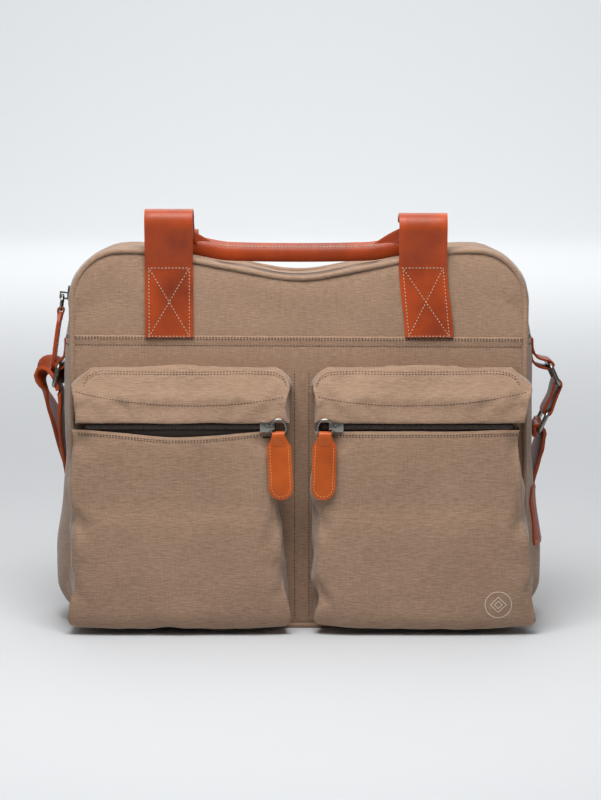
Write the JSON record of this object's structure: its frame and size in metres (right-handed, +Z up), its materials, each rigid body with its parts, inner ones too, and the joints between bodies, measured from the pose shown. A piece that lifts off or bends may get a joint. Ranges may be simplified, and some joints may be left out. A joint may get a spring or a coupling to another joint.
{
  "type": "satchel bag",
  "caption": "Canvas satchel bag with two zipped bellows pockets, leather carrying handles, zip pulls and a leather shoulder strap.",
  "frame": {"origin": "centre of the base under the main body, on the surface the bag stands on", "axes": "+Z up, -Y towards the pockets, +X to the right seen from the pockets"},
  "size_m": [0.451, 0.2648, 0.3536],
  "materials": {
    "canvas": "woven canvas with a horizontal slub",
    "lining": "plain woven lining",
    "board": "stiffener board",
    "zip_tape": "woven zip tape",
    "zip_coil": "nylon coil",
    "metal": "satin nickel",
    "leather": "smooth vegetable-tanned"
  },
  "bodies": {
    "bag": {"front_upper_panel": "canvas", "front_lower_panel": "canvas", "back_panel": "canvas", "side_gusset_left": "canvas", "side_gusset_right": "canvas", "base_panel": "canvas", "top_gusset_front": "canvas", "top_gusset_back": "canvas", "front_piping": "canvas", "back_piping": "canvas", "left_pocket_hood": "canvas", "left_pocket_face": "canvas", "left_pocket_gusset_inner": "canvas", "left_pocket_gusset_outer": "canvas", "left_pocket_gusset_bottom": "canvas", "right_pocket_hood": "canvas", "right_pocket_face": "canvas", "right_pocket_gusset_inner": "canvas", "right_pocket_gusset_outer": "canvas", "right_pocket_gusset_bottom": "canvas", "lining_front": "lining", "lining_back": "lining", "base_board": "board", "main_zip_tape": "zip_tape", "left_zip_tape": "zip_tape", "right_zip_tape": "zip_tape", "main_zip_coil": "zip_coil", "left_zip_coil": "zip_coil", "right_zip_coil": "zip_coil", "side_ring_tab_left": "leather", "side_ring_tab_right": "leather", "side_patch_right": "leather", "shoulder_strap_left": "leather", "shoulder_strap_behind": "leather", "shoulder_strap_right": "leather", "shoulder_strap_tail": "leather", "front_handle_tab_left": "leather", "front_handle_tab_right": "leather", "rear_handle_tab_left": "leather", "rear_handle_tab_right": "leather"},
    "front_handle": {"front_handle_strap_left": "leather", "front_handle_strap_right": "leather", "front_handle_grip": "leather"},
    "rear_handle": {"rear_handle_strap_left": "leather", "rear_handle_strap_right": "leather", "rear_handle_grip": "leather"},
    "main_slider": {"main_slider": "metal"},
    "main_pull_ring": {"main_pull_ring": "metal"},
    "main_pull": {"main_pull": "leather"},
    "left_slider": {"left_slider": "metal"},
    "left_pull_ring": {"left_pull_ring": "metal"},
    "left_pull": {"left_pull": "leather"},
    "right_slider": {"right_slider": "metal"},
    "right_pull_ring": {"right_pull_ring": "metal"},
    "right_pull": {"right_pull": "leather"},
    "side_ring_left": {"side_ring_left": "metal"},
    "side_ring_right": {"side_ring_right": "metal", "strap_connector": "leather", "strap_buckle": "metal"}
  },
  "joints": [
    {"name": "front_handle_lift", "type": "hinge", "parent": "bag", "child": "front_handle", "pos_m": [0, -0.0547, 0.323], "axis": [1, 0, 0], "range_deg": [0, 100]},
    {"name": "rear_handle_lift", "type": "hinge", "parent": "bag", "child": "rear_handle", "pos_m": [0, 0.0547, 0.323], "axis": [1, 0, 0], "range_deg": [0, 170]},
    {"name": "main_slider_turn", "type": "hinge", "parent": "bag", "child": "main_slider", "pos_m": [-0.15, 0, 0.274], "axis": [0, 1, 0], "range_deg": [0, 80]},
    {"name": "main_ring_swing", "type": "hinge", "parent": "main_slider", "child": "main_pull_ring", "pos_m": [-0.20159, 0, 0.27842], "axis": [0, 1, 0], "range_deg": [0, 88]},
    {"name": "main_pull_swing", "type": "hinge", "parent": "main_pull_ring", "child": "main_pull", "pos_m": [-0.20337, 0, 0.26575], "axis": [0, 1, 0], "range_deg": [0, 90]},
    {"name": "left_slider_run", "type": "slide", "parent": "bag", "child": "left_slider", "axis": [-1, 0, 0], "range_m": [0, 0.14]},
    {"name": "left_ring_swing", "type": "hinge", "parent": "left_slider", "child": "left_pull_ring", "pos_m": [-0.0232, -0.0921, 0.1758], "axis": [0, 0, -1], "range_deg": [0, 88]},
    {"name": "left_pull_swing", "type": "hinge", "parent": "left_pull_ring", "child": "left_pull", "pos_m": [-0.0168, -0.0921, 0.1694], "axis": [-1, 0, 0], "range_deg": [0, 90]},
    {"name": "right_slider_run", "type": "slide", "parent": "bag", "child": "right_slider", "axis": [1, 0, 0], "range_m": [0, 0.14]},
    {"name": "right_ring_swing", "type": "hinge", "parent": "right_slider", "child": "right_pull_ring", "pos_m": [0.0282, -0.0921, 0.1758], "axis": [0, 0, 1], "range_deg": [0, 88]},
    {"name": "right_pull_swing", "type": "hinge", "parent": "right_pull_ring", "child": "right_pull", "pos_m": [0.0218, -0.0921, 0.1694], "axis": [-1, 0, 0], "range_deg": [0, 90]},
    {"name": "side_ring_left_swing", "type": "hinge", "parent": "bag", "child": "side_ring_left", "pos_m": [-0.204, 0, 0.22], "axis": [0, 1, 0], "range_deg": [-8, 60], "deforming": ["shoulder_strap_left", "shoulder_strap_tail"]},
    {"name": "side_ring_right_swing", "type": "hinge", "parent": "bag", "child": "side_ring_right", "pos_m": [0.214, 0, 0.22], "axis": [0, -1, 0], "range_deg": [-5, 50], "deforming": ["shoulder_strap_right"]}
  ]
}
